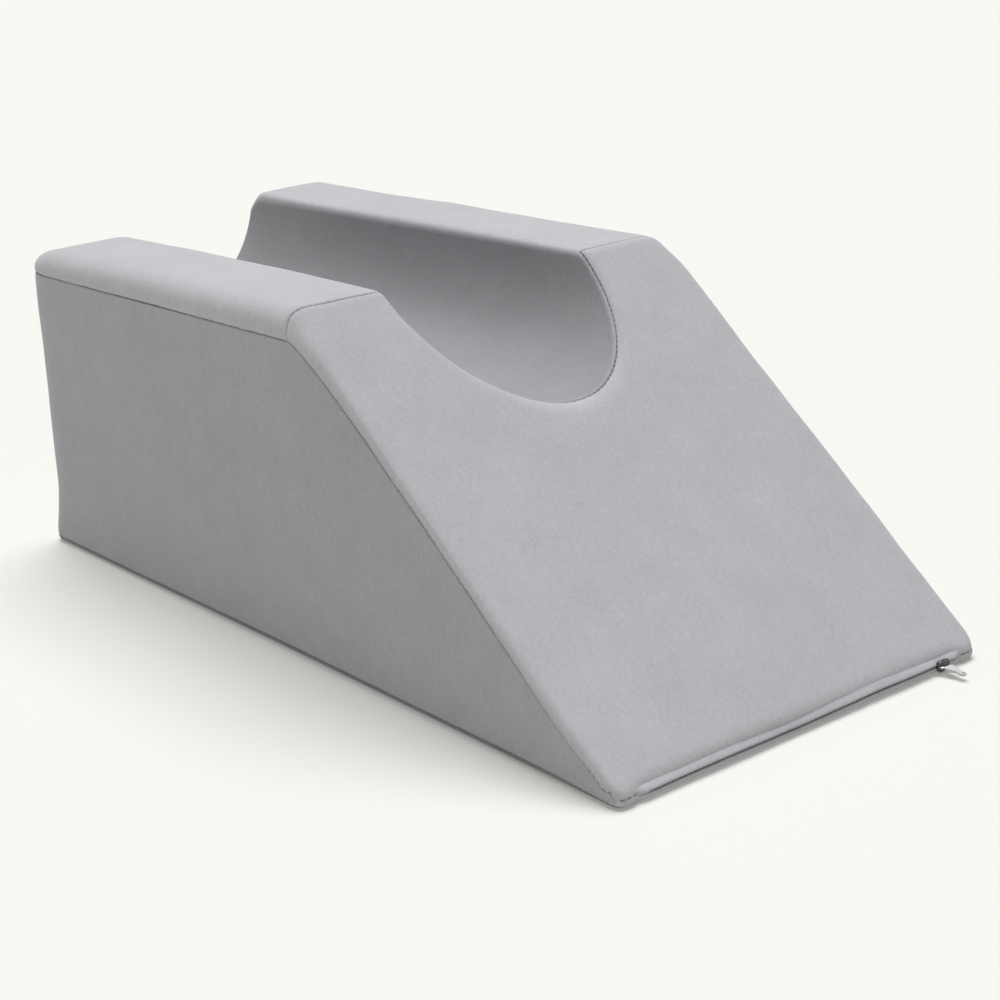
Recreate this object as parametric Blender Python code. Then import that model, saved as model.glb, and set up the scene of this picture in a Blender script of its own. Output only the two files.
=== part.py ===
# Wedge pillow for raising one leg: a foam wedge with an open channel along its top, in a fitted
# cover that closes with a zip along the toe.
# Metres, +Z up, +X from the back to the toe, +Y across. The origin is the middle of the underside.

import bpy
import bmesh
import numpy as np
from math import pi, radians
from mathutils import Matrix, Vector

# Main sizes of the filled wedge
LENGTH = 0.600
WIDTH = 0.2630
HEIGHT = 0.2100
CREST_FROM_BACK = 0.3515
TOE_HEIGHT = 0.0072

# The channel that the leg lies in: half an ellipse, open at the top and at both ends
CHANNEL_HALF_WIDTH = 0.0685
CHANNEL_DEPTH = 0.0640

# Softness of the form: how far each face swells, and how round each edge is
CROWN_SIDE = 0.0030
CROWN_SLOPE = 0.0026
CROWN_TOP = 0.0012
CROWN_BACK = 0.0035
EDGE_RAIL = 0.010
EDGE_SLOPE = 0.005
EDGE_CHANGE = 0.035
EDGE_AT_BASE = 0.004
EDGE_IN_CHANNEL = 0.005
CHANNEL_EDGE_FADE = 0.012
EDGE_BACK = 0.016
EDGE_BACK_NEAR = 0.032
EDGE_BACK_AT_BASE = 0.009
EDGE_BASE = 0.004
BASE_EDGE_RISE = 0.045
BASE_TUCK = 0.0028
TUCK_FULL_AT = 0.55
CREST_BLEND = 0.0028
TOE_BLEND = 0.0045
TOE_CORNER = 0.010
TOE_FILL = 0.006
RIM_BLEND = 0.0055

# The real pillow is not quite true: its far rail runs on a little at both ends, its back edge twists,
# and the rails' top falls slightly towards the far side
CREST_SKEW = 0.007
TOP_TILT = 0.0025
BACK_LEAN = 0.015
BACK_SKEW_BASE = 0.008
BACK_SKEW_TOP = 0.040
BACK_TWIST = 0.0040
NEAR_RAIL_PULL = 0.010
NEAR_PULL_SPAN = 0.49
BACK_STEP_START = 0.22
BACK_STEP_SPAN = 0.56

# Seams: where each one runs, and how deep it is drawn in
SIDE_SEAM_DROP = 0.016
SLOPE_SEAM_DROP = 0.0065
SEAM_DROP_FADE = 0.032
SIDE_SEAM_END = 0.0085
BASE_SEAM_RISE = 0.004
CREST_SEAM_BACK = 0.0025
SEAM_DEPTH = 0.0013
BASE_SEAM_DEPTH = 0.0008
SEAM_FULL_ABOVE = 0.070
SEAM_LEAST_SHARE = 0.35

# Zip along the toe
GAP = 0.0003
LIP_THICK = 0.0022
LIP_HALF_LENGTH = 0.1110
LIP_UPPER_HEIGHT = 0.0034
LIP_LOWER_HEIGHT = 0.0033
LIP_LOWER_BASE = 0.0003
LIP_ROUND = 0.0008
CHAIN_START = -0.1050
CHAIN_END = 0.0954
CHAIN_HEIGHT = 0.0010
CHAIN_THICK = 0.0012
CHAIN_ROUND = 0.0002
SLIDER_Y = 0.1004
SLIDER_LENGTH = 0.0092
SLIDER_HEIGHT = 0.0072
SLIDER_DEPTH = 0.0030
SLIDER_ROUND = 0.0009
PULL_LENGTH = 0.0125
PULL_DROP = 0.0011
PULL_ROOT_WIDTH = 0.0066
PULL_TIP_WIDTH = 0.0042
PULL_THICK = 0.0014
PULL_SHOULDER = 0.0015
PULL_NECK_START = 0.0040
PULL_NECK_END = 0.0075
PULL_TIP_STEPS = 8

# The overall box runs from the far rail's back to the pull's tip; this is its middle, from the back
MIDDLE_FROM_BACK = 0.2910

# Stations of the lattice that the skin is laid out on: steps from each edge and seam
BACK_STEPS = (0.0, 0.0035, 0.008, 0.014, 0.024)
ABOVE_CREST_STEPS = (0.005, 0.016)
BELOW_CREST_STEPS = (0.0, 0.004, 0.009, 0.018)
TOE_STEPS = (0.0, 0.003, 0.007, 0.014)
SIDE_STEPS = (0.0, 0.003, 0.0065, 0.011, 0.020)
RIM_STEPS = (0.0, 0.004, 0.009, 0.017)
BASE_STEPS = (0.0, 0.0015, BASE_SEAM_RISE, 0.0075, 0.014)
BAND_SHARES = (0.0, 0.20, 0.42, 0.70, 1.0)
BELOW_SEAM_STEP = 0.005
LEAST_BAND = 0.0018
CHANNEL_ANGLES = (5, 12, 22, 34, 47, 61, 75, 90, 105, 119, 133, 146, 158, 168, 175)
ROWS_ALONG_RAIL = 6
ROWS_DOWN_SLOPE = 8
ROWS_UP_SIDE = 4
COLUMNS_IN_RAIL = 1
ROOM_FOR_STEPS = 1.3
COLUMNS_EVEN_AFTER = 0.83


def smooth_max(a, b, reach):
    """The larger of two distances, with their meeting rounded over the given reach."""
    h = np.maximum(reach - np.abs(a - b), 0.0)
    return np.maximum(a, b) + h * h / (4.0 * reach)


def bump(t):
    """1 in the middle of a span and 0 at both its ends."""
    t = np.clip(t, 0.0, 1.0)
    return 4.0 * t * (1.0 - t)


def ease(t):
    """A soft step from 0 to 1."""
    t = np.clip(t, 0.0, 1.0)
    return t * t * (3.0 - 2.0 * t)


def crest_x(y):
    """Where the flat rails end and the slope starts."""
    return CREST_FROM_BACK + CREST_SKEW * y / WIDTH


def slope_fall(y):
    """How much the slope falls for each metre along."""
    return (HEIGHT - TOE_HEIGHT) / (LENGTH - crest_x(y))


def roof_line(x, y):
    """Height of the rails' top, then of the slope, seen from the side."""
    return np.minimum(HEIGHT, HEIGHT - (x - crest_x(y)) * slope_fall(y))


def seam_line(x, y):
    """Height of the seam along each side: it rises towards the edge just past the crest."""
    past = max(x - crest_x(y), 0.0)
    drop = SLOPE_SEAM_DROP + (SIDE_SEAM_DROP - SLOPE_SEAM_DROP) * np.exp(-past / SEAM_DROP_FADE)
    return max(roof_line(x, y) - drop, SIDE_SEAM_END)


def back_x(y, z):
    """Where the back face stands: it leans a little, and the far rail reaches further."""
    up = np.clip(z / HEIGHT, 0.0, 1.0)
    skew = BACK_SKEW_BASE + (BACK_SKEW_TOP - BACK_SKEW_BASE) * ease(up)
    across = y / WIDTH + 0.5
    pull = NEAR_RAIL_PULL * up ** 4 * bump(across / NEAR_PULL_SPAN)
    return BACK_LEAN * (up - 0.5) + pull - skew * ease((across - BACK_STEP_START) / BACK_STEP_SPAN)


def rail_height(x, y):
    """Height of the rails' flat top, with the slight twist at the back."""
    away = np.clip(1.0 - x / CREST_FROM_BACK, 0.0, 1.0)
    twist = 1.0 - 0.5 * (1.0 - y / (0.5 * WIDTH)) ** 2
    return HEIGHT - TOP_TILT * y / WIDTH + BACK_TWIST * away ** 3 * twist


def skin_distance(p):
    """Signed distance from points to the pillow's skin, below zero inside it."""
    x, y, z = p[:, 0], p[:, 1], p[:, 2]
    start = back_x(y, z)
    along = (x - start) / (LENGTH - start)
    across = y / WIDTH + 0.5
    roof_height = roof_line(x, y)
    up = z / np.maximum(roof_height, TOE_HEIGHT)
    tall = np.clip(roof_height / HEIGHT, 0.0, 1.0)

    above_base = ease(z / BASE_EDGE_RISE)
    tuck = BASE_TUCK * ease(along / TUCK_FULL_AT) * (1.0 - above_base) * (1.0 - ease(across))
    side = np.abs(y) - 0.5 * WIDTH - CROWN_SIDE * bump(along) * bump(up) * tall + tuck
    back = start - x - CROWN_BACK * bump(across) * bump(z / HEIGHT)
    round_corner = np.clip((np.abs(y) - 0.5 * WIDTH) / TOE_CORNER + 1.0, 0.0, 0.97)
    behind_lips = 1.0 - ease((np.abs(y) - LIP_HALF_LENGTH - GAP) / TOE_FILL)
    toe = x - LENGTH + (LIP_THICK + GAP) * behind_lips
    toe = toe + TOE_CORNER * (1.0 - np.sqrt(1.0 - round_corner ** 2))
    base = -z
    crest = crest_x(y)
    top = z - rail_height(x, y) - CROWN_TOP * bump(x / crest)
    angle = np.arctan(slope_fall(y))
    slope = (x - crest) * np.sin(angle) + (z - HEIGHT) * np.cos(angle)
    slope = slope - CROWN_SLOPE * bump((x - crest) / (LENGTH - crest)) * bump(across)

    depth = np.maximum(HEIGHT - z, 0.0)
    q = np.sqrt((y / CHANNEL_HALF_WIDTH) ** 2 + (depth / CHANNEL_DEPTH) ** 2) + 1e-9
    fall = np.sqrt((y / CHANNEL_HALF_WIDTH ** 2) ** 2 + (depth / CHANNEL_DEPTH ** 2) ** 2) + 1e-9
    channel = (1.0 - q) * q / fall

    roof = smooth_max(top, smooth_max(slope, toe, TOE_BLEND), CREST_BLEND)
    roof = smooth_max(roof, channel, RIM_BLEND)

    roof_edge = EDGE_RAIL + (EDGE_SLOPE - EDGE_RAIL) * ease((x - crest) / EDGE_CHANGE)
    side_edge = EDGE_AT_BASE + (roof_edge - EDGE_AT_BASE) * above_base
    from_side = (0.5 * WIDTH - np.abs(y)) / (0.5 * WIDTH - CHANNEL_HALF_WIDTH)
    in_channel = ease(depth / CHANNEL_EDGE_FADE) * ease(from_side)
    back_edge = EDGE_BACK_NEAR + (EDGE_BACK - EDGE_BACK_NEAR) * ease(across)
    back_edge = EDGE_BACK_AT_BASE + (back_edge - EDGE_BACK_AT_BASE) * above_base
    back_edge = back_edge + (EDGE_IN_CHANNEL - back_edge) * in_channel * above_base
    roof_edge = roof_edge + (EDGE_IN_CHANNEL - roof_edge) * in_channel
    parts = ((side, side_edge), (back, back_edge), (roof, roof_edge), (base, EDGE_BASE))
    total = sum(np.maximum(d / edge + 1.0, 0.0) ** 2 for d, edge in parts)
    return (np.sqrt(total) - 1.0) * EDGE_BASE


def skin_normals(p):
    """Outward direction of the skin, and how fast the distance grows along it."""
    step = 1e-5
    grad = np.zeros_like(p)
    for axis in range(3):
        shift = np.zeros(3)
        shift[axis] = step
        grad[:, axis] = (skin_distance(p + shift) - skin_distance(p - shift)) / (2.0 * step)
    size = np.linalg.norm(grad, axis=1, keepdims=True)
    return grad / np.maximum(size, 1e-6), np.maximum(size[:, 0], 1e-3)


def settle_on_skin(p, rounds=14, stride=0.004):
    """Move points along the skin's own normals until they lie on it."""
    for _ in range(rounds):
        normal, size = skin_normals(p)
        move = np.clip(skin_distance(p) / size, -stride, stride)
        p = p - normal * move[:, None]
    return p


def spread(total, low, high, middle):
    """Stations from 0 to total: fixed steps at both ends, even steps between."""
    fit = min(1.0, total / (ROOM_FOR_STEPS * (low[-1] + high[-1])))
    start = [d * fit for d in low]
    stop = [total - d * fit for d in reversed(high)]
    inner = [start[-1] + (stop[0] - start[-1]) * n / (middle + 1.0) for n in range(1, middle + 1)]
    return start + inner + stop


def cross_stations():
    """Across the top: each column's y and depth below the rail, then those of the back seam under it."""
    rail = 0.5 * WIDTH - CHANNEL_HALF_WIDTH
    seam_half_width = CHANNEL_HALF_WIDTH + SIDE_SEAM_DROP
    seam_depth = CHANNEL_DEPTH + SIDE_SEAM_DROP
    first_angle = np.arcsin(SIDE_SEAM_DROP / seam_depth)
    squeeze = (0.5 * WIDTH - seam_half_width * np.cos(first_angle)) / rail
    near = []
    for d in spread(rail, SIDE_STEPS, RIM_STEPS, COLUMNS_IN_RAIL):
        near.append((d - 0.5 * WIDTH, 0.0, d * squeeze - 0.5 * WIDTH, SIDE_SEAM_DROP))
    columns = list(near)
    for angle in CHANNEL_ANGLES:
        turn = radians(angle)
        seam_turn = first_angle + (pi - 2.0 * first_angle) * angle / 180.0
        columns.append((-CHANNEL_HALF_WIDTH * np.cos(turn), CHANNEL_DEPTH * np.sin(turn),
                        -seam_half_width * np.cos(seam_turn), seam_depth * np.sin(seam_turn)))
    columns += [(-y, depth, -seam_y, drop) for y, depth, seam_y, drop in reversed(near)]
    return columns


def even_columns(count):
    """Columns across the base and the toe: close steps at both sides, even steps between."""
    inner = count - 2 * len(SIDE_STEPS)
    return [y - 0.5 * WIDTH for y in spread(WIDTH, SIDE_STEPS, SIDE_STEPS, inner)]


def upright(roof, seam):
    """Heights from the base up to the seam, then through the rounded band to the roof."""
    band = [roof - (roof - seam) * share for share in reversed(BAND_SHARES)]
    return spread(seam, BASE_STEPS, (0.0, BELOW_SEAM_STEP), ROWS_UP_SIDE)[:-1] + band


def length_rows(rim):
    """Rows from the back to the rim of one column, then down the slope to the toe."""
    before = spread(rim - CREST_SEAM_BACK, BACK_STEPS, (0.0,) + ABOVE_CREST_STEPS, ROWS_ALONG_RAIL)
    after = spread(LENGTH - rim, BELOW_CREST_STEPS, TOE_STEPS, ROWS_DOWN_SLOPE)
    return before + [rim + d for d in after]


def lattice_faces(counts, number):
    """Quads of the outside of a box lattice, each turned outwards."""
    faces = []
    for axis in range(3):
        u, v = (axis + 1) % 3, (axis + 2) % 3
        for end in (0, counts[axis]):
            for a in range(counts[u]):
                for b in range(counts[v]):
                    quad = []
                    for da, db in ((0, 0), (1, 0), (1, 1), (0, 1)):
                        key = [0, 0, 0]
                        key[axis], key[u], key[v] = end, a + da, b + db
                        quad.append(number[tuple(key)])
                    faces.append(quad if end else quad[::-1])
    return faces


def back_point(column, foot_y, share_down, level):
    """A point of the back face: a band along the top profile, then straight lines to the base."""
    y, depth, seam_y, seam_depth = column
    edge = Vector((y, HEIGHT - depth))
    seam = Vector((seam_y, HEIGHT - seam_depth))
    if share_down <= 1.0:
        return edge.lerp(seam, share_down)
    return seam.lerp(Vector((foot_y, 0.0)), 1.0 - level)


def cushion_lattice():
    """Sharp positions, faces and seam depths of the pillow's skin."""
    columns = cross_stations()
    last_j = len(columns) - 1
    even_y = even_columns(last_j + 1)
    side_z = upright(HEIGHT, HEIGHT - SIDE_SEAM_DROP)
    last_k = len(side_z) - 1
    seam_k = last_k - len(BAND_SHARES) + 1
    base_k = BASE_STEPS.index(BASE_SEAM_RISE)
    seam_row = len(BACK_STEPS) + ROWS_ALONG_RAIL + len(ABOVE_CREST_STEPS)
    last_i = len(length_rows(CREST_FROM_BACK)) - 1

    number, points, drawn_in = {}, [], []
    for i in range(last_i + 1):
        for j in range(last_j + 1):
            on_edge = i in (0, last_i) or j in (0, last_j)
            for k in range(last_k + 1) if on_edge else (0, last_k):
                column_y, depth = columns[j][:2]
                share = side_z[k] / HEIGHT
                rim = crest_x(column_y) + share * depth / slope_fall(column_y)
                x = length_rows(rim)[i]
                down = max(x - rim, 0.0) / (LENGTH - rim)
                y = even_y[j] + (column_y - even_y[j]) * share * (1.0 - ease(down / COLUMNS_EVEN_AFTER))
                roof = roof_line(x, y) if x > rim else HEIGHT - depth
                z = upright(roof, min(seam_line(x, y), roof - LEAST_BAND))[k] if k else 0.0
                if i == 0:
                    share_down = (HEIGHT - side_z[k]) / SIDE_SEAM_DROP
                    level = side_z[k] / side_z[seam_k]
                    y, z = back_point(columns[j], even_y[j], share_down, level)
                x = x + back_x(y, z) * max(0.0, 1.0 - x / crest_x(y))
                number[(i, j, k)] = len(points)
                points.append((x, y, z))
                on_side = j in (0, last_j)
                around = on_side or i in (0, last_i)
                over_crest = i == seam_row and (k == last_k or (on_side and k > seam_k))
                at_base = around and k == base_k and i < last_i
                depth_here = BASE_SEAM_DEPTH if at_base else 0.0
                if over_crest or (around and k == seam_k):
                    depth_here = SEAM_DEPTH
                drawn_in.append(depth_here * min(max(roof / SEAM_FULL_ABOVE, SEAM_LEAST_SHARE), 1.0))
    faces = lattice_faces((last_i, last_j, last_k), number)
    return np.array(points), faces, np.array(drawn_in)


def material(name, colour, roughness, metallic=0.0):
    """A plain surface of one colour."""
    made = bpy.data.materials.new(name)
    made.use_nodes = True
    shader = made.node_tree.nodes["Principled BSDF"]
    shader.inputs["Base Color"].default_value = (*colour, 1.0)
    shader.inputs["Roughness"].default_value = roughness
    shader.inputs["Metallic"].default_value = metallic
    return made


def add_object(name, mesh, surface):
    """Put a mesh in the scene under its part's name."""
    mesh.materials.append(surface)
    made = bpy.data.objects.new(name, mesh)
    bpy.context.collection.objects.link(made)
    return made


def make_cushion(surface):
    """The filled wedge with its crown, rounded edges, channel and drawn-in seams."""
    sharp, faces, drawn_in = cushion_lattice()
    skin = settle_on_skin(sharp)
    normal, _ = skin_normals(skin)
    skin -= normal * drawn_in[:, None]
    skin[:, 0] -= MIDDLE_FROM_BACK
    skin[:, 2] = np.maximum(skin[:, 2], 0.0)
    mesh = bpy.data.meshes.new("cushion")
    mesh.from_pydata([tuple(row) for row in skin], [], faces)
    mesh.shade_smooth()
    mesh.set_sharp_from_angle(angle=radians(50.0))
    return add_object("cushion", mesh, surface)


def rounded_bar(name, size, centre, edge, segments, surface):
    """A bar with rounded long edges and ends."""
    shape = bmesh.new()
    bmesh.ops.create_cube(shape, size=1.0)
    bmesh.ops.scale(shape, vec=Vector(size), verts=shape.verts)
    bmesh.ops.bevel(shape, geom=shape.edges[:], offset=edge, segments=segments, affect="EDGES", profile=0.5)
    bmesh.ops.translate(shape, vec=Vector(centre), verts=shape.verts)
    mesh = bpy.data.meshes.new(name)
    shape.to_mesh(mesh)
    shape.free()
    mesh.shade_smooth()
    return add_object(name, mesh, surface)


def make_pull(surface, root):
    """The flat tapered tab, standing out of the toe from its root, round at the tip."""
    half_root, half_tip = 0.5 * PULL_ROOT_WIDTH, 0.5 * PULL_TIP_WIDTH
    outline = [(0.0, -half_tip), (PULL_SHOULDER, -half_root), (PULL_NECK_START, -half_root)]
    outline.append((PULL_NECK_END, -half_tip))
    side_count = len(outline)
    tip_centre = PULL_LENGTH - half_tip
    for step in range(PULL_TIP_STEPS + 1):
        angle = -0.5 * pi + pi * step / PULL_TIP_STEPS
        outline.append((tip_centre + half_tip * np.cos(angle), half_tip * np.sin(angle)))
    outline += [(x, -y) for x, y in reversed(outline[:side_count])]
    shape = bmesh.new()
    ring = [shape.verts.new((x, y, -0.5 * PULL_THICK)) for x, y in outline]
    face = shape.faces.new(ring)
    grown = bmesh.ops.extrude_face_region(shape, geom=[face])
    top = [item for item in grown["geom"] if isinstance(item, bmesh.types.BMVert)]
    bmesh.ops.translate(shape, vec=(0.0, 0.0, PULL_THICK), verts=top)
    bmesh.ops.recalc_face_normals(shape, faces=shape.faces)
    droop = Matrix.Rotation(np.arctan2(PULL_DROP, PULL_LENGTH), 4, "Y")
    bmesh.ops.transform(shape, matrix=Matrix.Translation(root) @ droop, verts=shape.verts)
    mesh = bpy.data.meshes.new("zip_pull")
    shape.to_mesh(mesh)
    shape.free()
    return add_object("zip_pull", mesh, surface)


def build():
    """Clear the scene and build every piece of the pillow."""
    for old in list(bpy.data.objects):
        bpy.data.objects.remove(old, do_unlink=True)
    cloth = material("cover cloth", (0.40, 0.41, 0.43), 0.95)
    tape = material("zip cloth", (0.36, 0.37, 0.39), 0.90)
    teeth = material("zip teeth", (0.12, 0.12, 0.13), 0.55)
    metal = material("zip metal", (0.16, 0.16, 0.17), 0.40, 1.0)
    tab = material("zip pull", (0.58, 0.58, 0.58), 0.45)
    make_cushion(cloth)

    toe = LENGTH - MIDDLE_FROM_BACK
    lip_x = toe - 0.5 * LIP_THICK
    lip_length = 2.0 * LIP_HALF_LENGTH
    lower_mid = LIP_LOWER_BASE + 0.5 * LIP_LOWER_HEIGHT
    chain_mid = LIP_LOWER_BASE + LIP_LOWER_HEIGHT + GAP + 0.5 * CHAIN_HEIGHT
    upper_mid = chain_mid + 0.5 * CHAIN_HEIGHT + GAP + 0.5 * LIP_UPPER_HEIGHT
    rounded_bar("zip_lip_lower", (LIP_THICK, lip_length, LIP_LOWER_HEIGHT), (lip_x, 0.0, lower_mid),
                LIP_ROUND, 2, tape)
    rounded_bar("zip_lip_upper", (LIP_THICK, lip_length, LIP_UPPER_HEIGHT), (lip_x, 0.0, upper_mid),
                LIP_ROUND, 2, tape)
    chain_x = toe - LIP_THICK + 0.5 * CHAIN_THICK
    rounded_bar("zip_chain", (CHAIN_THICK, CHAIN_END - CHAIN_START, CHAIN_HEIGHT),
                (chain_x, 0.5 * (CHAIN_START + CHAIN_END), chain_mid), CHAIN_ROUND, 1, teeth)
    slider_x = toe + GAP + 0.5 * SLIDER_DEPTH
    rounded_bar("zip_slider", (SLIDER_DEPTH, SLIDER_LENGTH, SLIDER_HEIGHT),
                (slider_x, SLIDER_Y, chain_mid), SLIDER_ROUND, 2, metal)
    make_pull(tab, (slider_x + 0.5 * SLIDER_DEPTH + GAP, SLIDER_Y, chain_mid))


build()
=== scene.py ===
import bpy
import bmesh
import numpy as np
from math import cos, pi, radians, sin
from mathutils import Matrix, Vector, kdtree


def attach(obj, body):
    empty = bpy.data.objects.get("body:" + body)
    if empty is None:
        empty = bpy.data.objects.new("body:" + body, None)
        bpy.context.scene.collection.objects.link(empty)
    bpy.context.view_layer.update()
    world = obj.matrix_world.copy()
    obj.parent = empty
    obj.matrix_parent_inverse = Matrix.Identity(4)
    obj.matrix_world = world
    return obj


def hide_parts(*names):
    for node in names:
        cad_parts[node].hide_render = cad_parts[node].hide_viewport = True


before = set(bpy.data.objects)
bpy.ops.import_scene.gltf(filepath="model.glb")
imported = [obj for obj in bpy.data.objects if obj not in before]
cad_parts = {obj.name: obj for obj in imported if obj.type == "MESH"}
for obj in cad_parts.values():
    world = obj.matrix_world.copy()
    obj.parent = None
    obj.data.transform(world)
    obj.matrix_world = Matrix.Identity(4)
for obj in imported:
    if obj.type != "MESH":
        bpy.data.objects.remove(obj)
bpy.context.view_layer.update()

# Main sizes of the filled wedge, as in the CAD source. Local x runs from the back to the toe.
LENGTH = 0.600
WIDTH = 0.2630
HEIGHT = 0.2100
CREST_FROM_BACK = 0.3515
TOE_HEIGHT = 0.0072
CHANNEL_HALF_WIDTH = 0.0685
CHANNEL_DEPTH = 0.0640
MIDDLE_FROM_BACK = 0.2910

# Softness of the form, as in the CAD source but for a rounder rail edge and a slight crown on the rails
CROWN_SIDE = 0.0030
CROWN_SLOPE = 0.0026
CROWN_TOP = 0.0012
CROWN_RAIL = 0.0005
CROWN_BACK = 0.0035
EDGE_RAIL = 0.012
EDGE_SLOPE = 0.005
EDGE_CHANGE = 0.024
EDGE_AT_BASE = 0.004
EDGE_IN_CHANNEL = 0.005
CHANNEL_EDGE_FADE = 0.012
EDGE_BACK = 0.016
EDGE_BACK_NEAR = 0.032
EDGE_BACK_AT_BASE = 0.009
EDGE_BASE = 0.004
BASE_EDGE_RISE = 0.045
BASE_TUCK = 0.0028
TUCK_FULL_AT = 0.55
CREST_BLEND = 0.0028
TOE_BLEND = 0.0045
TOE_CORNER = 0.010
TOE_FILL = 0.006
RIM_BLEND = 0.0055

# The real pillow is not quite true: its far rail runs on a little at both ends, its back edge twists,
# and the rails' top falls slightly towards the far side
CREST_SKEW = 0.007
TOP_TILT = 0.0025
BACK_LEAN = 0.015
BACK_SKEW_BASE = 0.008
BACK_SKEW_TOP = 0.040
BACK_TWIST = 0.0040
NEAR_RAIL_PULL = 0.010
NEAR_PULL_SPAN = 0.49
BACK_STEP_START = 0.22
BACK_STEP_SPAN = 0.56

# Seam lines, as in the CAD source
SIDE_SEAM_DROP = 0.016
SLOPE_SEAM_DROP = 0.0065
SEAM_DROP_FADE = 0.032
SIDE_SEAM_END = 0.0085
BASE_SEAM_RISE = 0.004
CREST_SEAM_BACK = 0.0025
SEAM_FULL_ABOVE = 0.070
SEAM_LEAST_SHARE = 0.35

# Zip sizes, as in the CAD source
GAP = 0.0003
LIP_THICK = 0.0022
LIP_HALF_LENGTH = 0.1110
LIP_LOWER_HEIGHT = 0.0033
LIP_LOWER_BASE = 0.0003
CHAIN_START = -0.1050
CHAIN_END = 0.0954
CHAIN_HEIGHT = 0.0010
SLIDER_Y = 0.1004
SLIDER_LENGTH = 0.0092
SLIDER_HEIGHT = 0.0072
SLIDER_DEPTH = 0.0030
PULL_LENGTH = 0.0125
PULL_DROP = 0.0011
PULL_ROOT_WIDTH = 0.0066
PULL_TIP_WIDTH = 0.0042
PULL_THICK = 0.0014

# The lips in the looks: where they meet, how far they run on past the zip, and how they sink into the cover
LIPS_MEET = 0.0043
LIPS_MEET_BAND = 0.0015
LIPS_CLOSE_BY = 0.0004
LIPS_CLOSE_OVER = 0.006
LIP_END_REACH = 0.0075
LIP_END_SINK = 0.0016
LIP_LOWER_OVERLAP = 0.0005
LIP_LOWER_INSET = 0.0002
LIP_BACK = -0.0010
LIP_PATH_START = 0.006
LIP_PATH_HEIGHT = 0.0045
LIP_PATH_STEP = 0.0010
LIP_SWAY = 0.00035
LIP_SWAY_LENGTH = 0.075
LIP_SWAY_RISE = 0.003
LIP_BULGE = 0.00025
LIP_BULGE_LENGTH = 0.030

# The upper lip carries on the slope's cloth and folds in at the zip: places outwards from the toe's line,
# and heights, from the underside round the front and up the slope
UPPER_FOLD = ((LIP_BACK, 0.0046), (0.0010, 0.0046), (0.0017, 0.0047), (0.0022, 0.0050), (0.0023, 0.0054),
              (0.0019, 0.0060), (0.0011, 0.0067), (0.0001, 0.0074), (-0.0013, 0.0084), (-0.0030, 0.0097),
              (-0.0050, 0.0112), (-0.0075, 0.0130), (-0.0085, 0.0122))

# The lower lip, from its top down: shares of its thickness outwards, and of its height downwards
LOWER_FOLD_SHARES = ((0.52, 0.0), (0.80, 0.04), (0.96, 0.15), (1.0, 0.30), (0.92, 0.45), (0.68, 0.62),
                     (0.24, 0.84), (-0.08, 0.95))

# The zip's teeth, the rings of its slider from back to front, and the arch of its bridge seen from above
TOOTH_PITCH = 0.0014
TOOTH_SHARE = 0.72
TOOTH_DEPTH = 0.0012
TOOTH_LEAN = 0.0001
TOOTH_BEVEL = 0.0002
TEETH_FORWARD = 0.0006
SLIDER_SIDES = 28
SLIDER_SQUARENESS = 0.7
SLIDER_WAIST = 0.16
SLIDER_WAIST_SPAN = 0.35
SLIDER_RINGS = ((-0.0012, 0.92), (0.0, 1.0), (0.0008, 1.0), (0.0012, 0.93), (0.0013, 0.80))
BRIDGE_ARCH = ((0.0008, -0.0034), (0.0022, -0.0030), (0.0029, -0.0016), (0.0030, 0.0), (0.0029, 0.0016),
               (0.0022, 0.0030), (0.0008, 0.0034))
BRIDGE_RADIUS = 0.0008
BRIDGE_SIDES = 10

# The pull: drawn in from its root to a waist, then out to a round tip with a hole
PULL_WAIST_SHARE = 0.82
PULL_WAIST_START = 0.0022
PULL_WAIST_SPAN = 0.0052
PULL_TIP_START = 0.0070
PULL_TIP_SPAN = 0.0030
PULL_ROOT_SHARE = 0.8
PULL_SIDE_STEPS = 8
PULL_TIP_STEPS = 10
PULL_HOLE_RADIUS = 0.00065
PULL_HOLE_FORWARD = 0.0002
PULL_EDGE = 0.00035
SHARP_OVER_DEGREES = 40.0

# Painted shade: the side and back panels take a darker copy of the cover's grey, and the channel's skin is
# darkened, to stand in for the shade that falls on them; in the channel from a little inside its rim
COVER_COLOUR = (0.400, 0.404, 0.418)
PANEL_SHADED_COLOUR = (0.332, 0.335, 0.347)
CHANNEL_PAINTED_SHADE = 0.65
RIM_SHADE_START = 0.0010
RIM_SHADE_END = 0.0050
RIM_SHADE_SIDE = 0.0040

# The middle part of a noise that carries its contrast
NOISE_LOW = 0.3
NOISE_HIGH = 0.7

# How each seam shows: a narrow crease in a wider soft valley, with a stitch every few millimetres,
# and a slight welt beside it along the slope
CREASE_DEPTH = 0.0008
CREASE_WIDTH = 0.00055
VALLEY_DEPTH = 0.0005
VALLEY_WIDTH = 0.0030
BASE_SEAM_SHARE = 0.6
WELT_HEIGHT = 0.0003
WELT_START = 0.0012
WELT_WIDTH = 0.0110
WELT_FROM_CREST = 0.006
WELT_UPWARD = 0.55
WELT_TOE_SHARE = 0.5
STITCH_PITCH = 0.0040
STITCH_LENGTH = 0.0021
STITCH_THICK = 0.00034
STITCH_PULL = 0.12
STITCH_LEAST_SHARE = 0.55
STITCH_SHARE_GAIN = 4.0
SEAM_SAMPLE = 0.0015

# A thread or a part of the bridge as a capsule: places along it with their share of its radius
CAPSULE_RINGS = ((-0.6, 0.45), (0.0, 1.0), (1.0, 1.0), (1.6, 0.45))
CAPSULE_END = 1.4
CAPSULE_FLATNESS = 0.7

# Unevenness of the cloth: seed, height and wavelength
UNEVEN_BROAD = (11, 0.00035, 0.11)
UNEVEN_NARROW = (12, 0.00012, 0.035)
UNEVEN_AT_SEAMS = (13, 0.00010, 0.013)
UNEVEN_SEAM_REACH = 0.006
UNEVEN_FROM_BASE = 0.012
WAVE_SPREAD = (0.7, 1.5)
WAVE_PEAK = 1.6

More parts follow.
